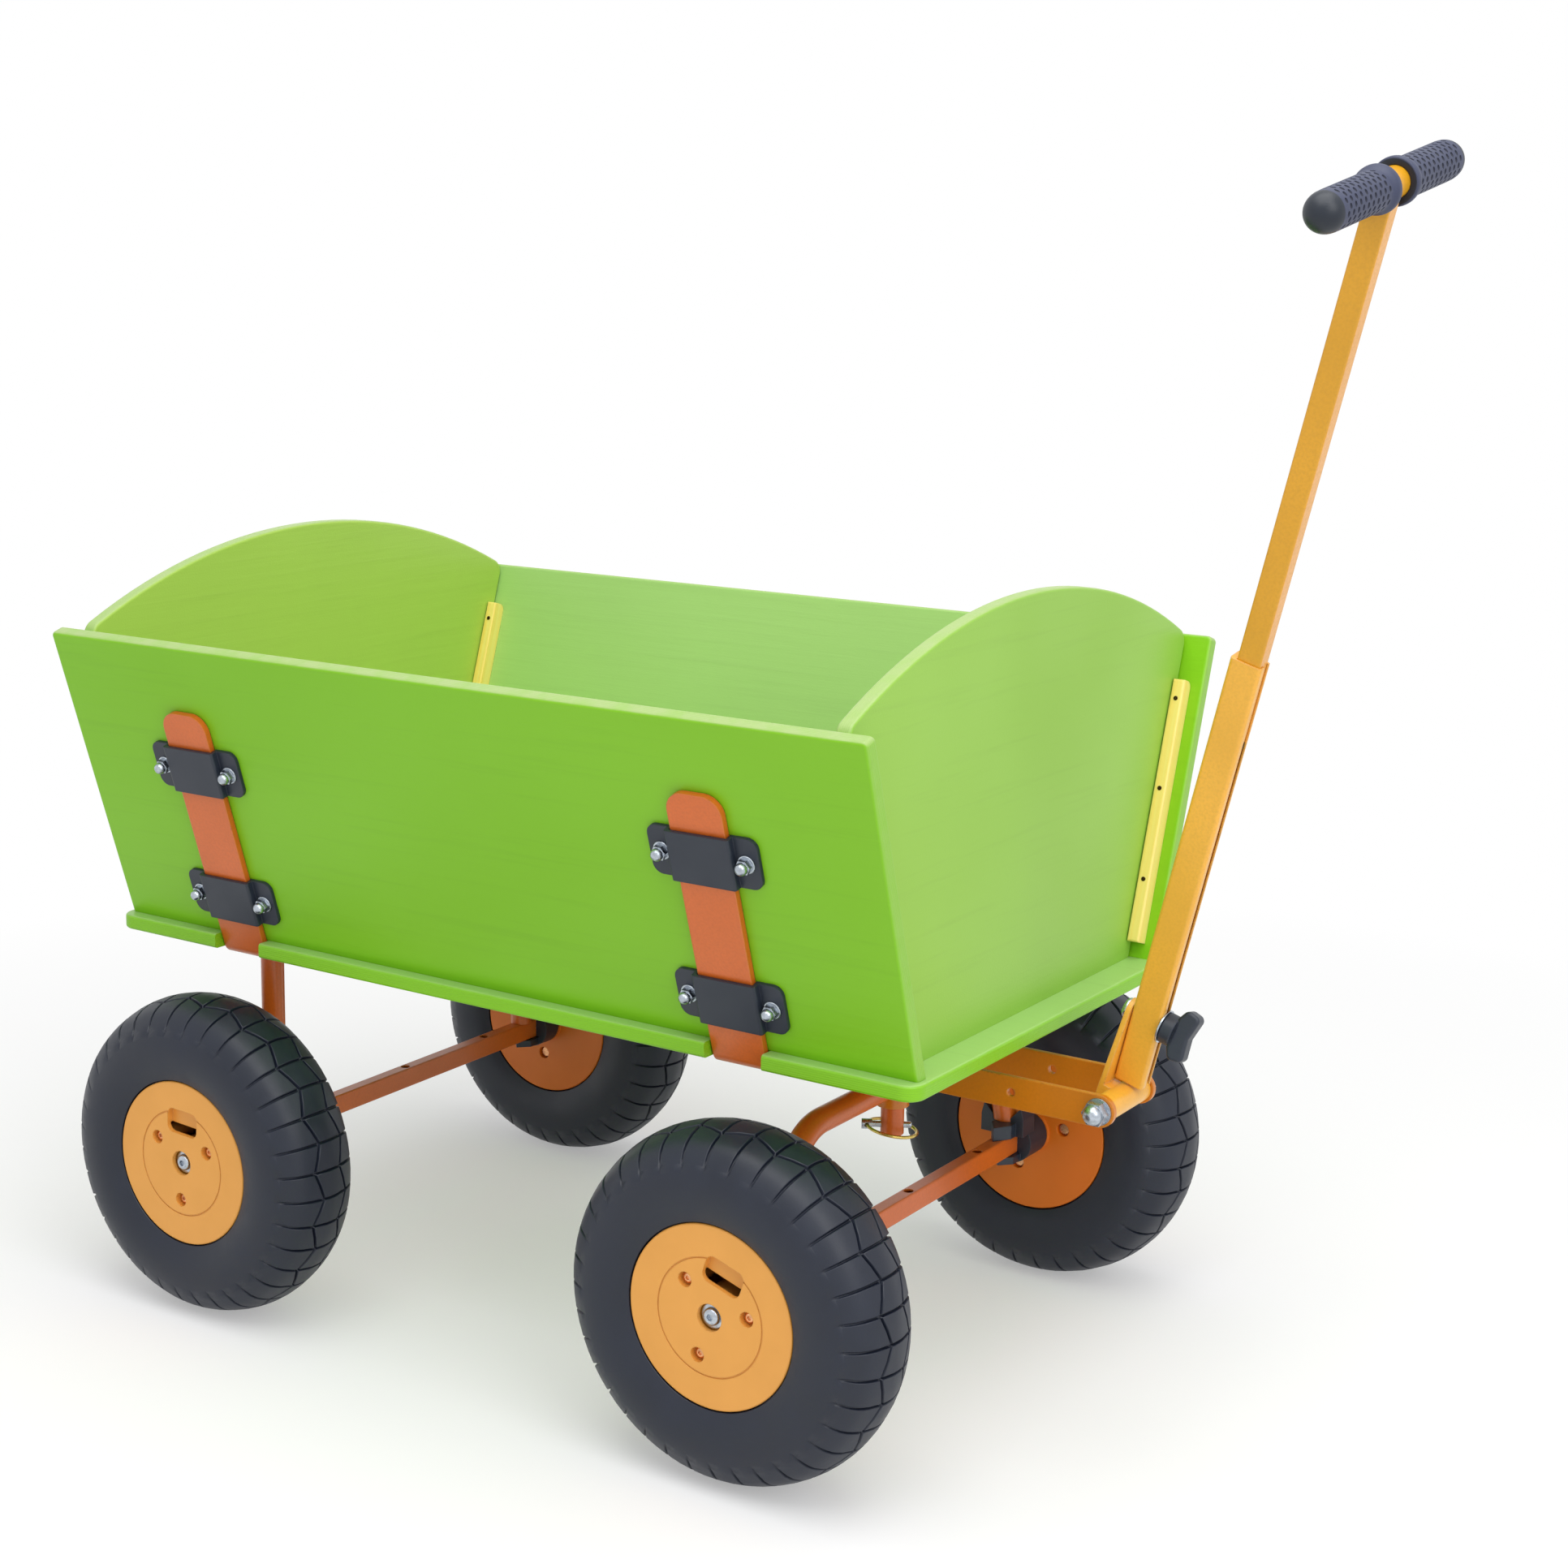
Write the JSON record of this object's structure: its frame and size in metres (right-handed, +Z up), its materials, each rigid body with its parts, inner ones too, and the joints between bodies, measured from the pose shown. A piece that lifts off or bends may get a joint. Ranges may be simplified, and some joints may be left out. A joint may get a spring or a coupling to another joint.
{
  "type": "hand-pulled wagon",
  "caption": "Hand-pulled wagon: lift-out plywood load box on strap chassis, balloon-tyred wheels, steered front axle and a folding telescopic drawbar with a T-handle.",
  "frame": {"origin": "on the ground under the middle of the wagon with its drawbar as pictured", "axes": "+X forward to the drawbar, +Y to the wagon's left, +Z up"},
  "size_m": [1.0328, 0.5612, 0.9208],
  "materials": {
    "green_ply": "satin paint",
    "yellow_wood": "clear varnish",
    "orange_steel": "powder coat",
    "amber_steel": "powder coat",
    "black_plastic": "moulded",
    "grip_rubber": "dimpled",
    "bright_steel": "zinc",
    "tyre": "block tread",
    "tan_plastic": "moulded",
    "orange_plastic": "moulded"
  },
  "bodies": {
    "chassis": {"floor_panel": "green_ply", "strap_front": "orange_steel", "strap_rear": "orange_steel", "floor_bolts": "bright_steel", "kingpin": "orange_steel", "linch_pin": "bright_steel", "rear_legs": "orange_steel", "rear_axle_bar": "orange_steel", "rear_axle_stubs": "bright_steel", "rear_axle_blocks": "black_plastic", "rear_axle_screws": "bright_steel"},
    "front_axle": {"front_arch": "orange_steel", "front_axle_bar": "orange_steel", "front_axle_stubs": "bright_steel", "front_axle_blocks": "black_plastic", "front_axle_screws": "bright_steel", "head_tube": "orange_steel", "glide_washer": "black_plastic", "drawbar_fork": "orange_steel", "pivot_bolt": "bright_steel"},
    "drawbar_base": {"drawbar_foot": "amber_steel", "fold_bolt": "bright_steel"},
    "drawbar_lower": {"drawbar_lower_tube": "amber_steel"},
    "drawbar_upper": {"drawbar_upper_tube": "amber_steel", "upper_tube_plug": "black_plastic", "handle_bar": "amber_steel", "grip_left": "grip_rubber", "grip_right": "grip_rubber"},
    "knob": {"fold_knob": "black_plastic"},
    "ring": {"linch_ring": "bright_steel"},
    "end_front": {"end_panel_front": "green_ply"},
    "end_rear": {"end_panel_rear": "green_ply"},
    "side_right": {"side_panel_right": "green_ply", "battens_right": "yellow_wood", "keepers_right": "black_plastic", "keeper_bolts_right": "bright_steel"},
    "side_left": {"side_panel_left": "green_ply", "battens_left": "yellow_wood", "keepers_left": "black_plastic", "keeper_bolts_left": "bright_steel"},
    "wheel_front_left": {"wheel_front_left_tyre": "tyre", "wheel_front_left_rim_outer": "tan_plastic", "wheel_front_left_rim_inner": "orange_plastic", "wheel_front_left_hub_bush": "tan_plastic", "wheel_front_left_rim_screws": "bright_steel"},
    "wheel_front_right": {"wheel_front_right_tyre": "tyre", "wheel_front_right_rim_outer": "tan_plastic", "wheel_front_right_rim_inner": "orange_plastic", "wheel_front_right_hub_bush": "tan_plastic", "wheel_front_right_rim_screws": "bright_steel"},
    "wheel_rear_left": {"wheel_rear_left_tyre": "tyre", "wheel_rear_left_rim_outer": "tan_plastic", "wheel_rear_left_rim_inner": "orange_plastic", "wheel_rear_left_hub_bush": "tan_plastic", "wheel_rear_left_rim_screws": "bright_steel"},
    "wheel_rear_right": {"wheel_rear_right_tyre": "tyre", "wheel_rear_right_rim_outer": "tan_plastic", "wheel_rear_right_rim_inner": "orange_plastic", "wheel_rear_right_hub_bush": "tan_plastic", "wheel_rear_right_rim_screws": "bright_steel"}
  },
  "joints": [
    {"name": "steer", "type": "hinge", "parent": "chassis", "child": "front_axle", "pos_m": [0.10959, 0, 0.222], "axis": [0, 0, 1], "range_deg": [-35, 35]},
    {"name": "drawbar_tilt", "type": "hinge", "parent": "front_axle", "child": "drawbar_base", "pos_m": [0.29759, 0, 0.248], "axis": [0, 1, 0], "range_deg": [-15, 88]},
    {"name": "drawbar_fold", "type": "hinge", "parent": "drawbar_base", "child": "drawbar_lower", "pos_m": [0.3174, 0, 0.312], "axis": [0.9553, 0, -0.2957], "range_deg": [-101.7, 78.3]},
    {"name": "drawbar_telescope", "type": "slide", "parent": "drawbar_lower", "child": "drawbar_upper", "axis": [0.2896, -0.2028, 0.9354], "range_m": [-0.22, 0]},
    {"name": "knob_turn", "type": "hinge", "parent": "drawbar_base", "child": "knob", "pos_m": [0.3174, 0, 0.312], "axis": [0.9553, 0, -0.2957], "continuous": true},
    {"name": "ring_flip", "type": "hinge", "parent": "chassis", "child": "ring", "pos_m": [0.09305, -0.01033, 0.189], "axis": [-0.5299, 0.848, 0], "range_deg": [0, 110]},
    {"name": "side_right_lift", "type": "slide", "parent": "chassis", "child": "side_right", "axis": [0, -0.309, 0.9511], "range_m": [0, 0.21]},
    {"name": "side_left_lift", "type": "slide", "parent": "chassis", "child": "side_left", "axis": [0, 0.309, 0.9511], "range_m": [0, 0.21]},
    {"name": "end_front_lift", "type": "slide", "parent": "chassis", "child": "end_front", "axis": [0, 0, 1], "range_m": [0, 0.25]},
    {"name": "end_rear_lift", "type": "slide", "parent": "chassis", "child": "end_rear", "axis": [0, 0, 1], "range_m": [0, 0.25]},
    {"name": "wheel_front_left_spin", "type": "hinge", "parent": "front_axle", "child": "wheel_front_left", "pos_m": [0.12559, 0.238, 0.13], "axis": [0, 1, 0], "continuous": true},
    {"name": "wheel_front_right_spin", "type": "hinge", "parent": "front_axle", "child": "wheel_front_right", "pos_m": [0.12559, -0.238, 0.13], "axis": [0, 1, 0], "continuous": true},
    {"name": "wheel_rear_left_spin", "type": "hinge", "parent": "chassis", "child": "wheel_rear_left", "pos_m": [-0.38141, 0.238, 0.13], "axis": [0, 1, 0], "continuous": true},
    {"name": "wheel_rear_right_spin", "type": "hinge", "parent": "chassis", "child": "wheel_rear_right", "pos_m": [-0.38141, -0.238, 0.13], "axis": [0, 1, 0], "continuous": true}
  ]
}
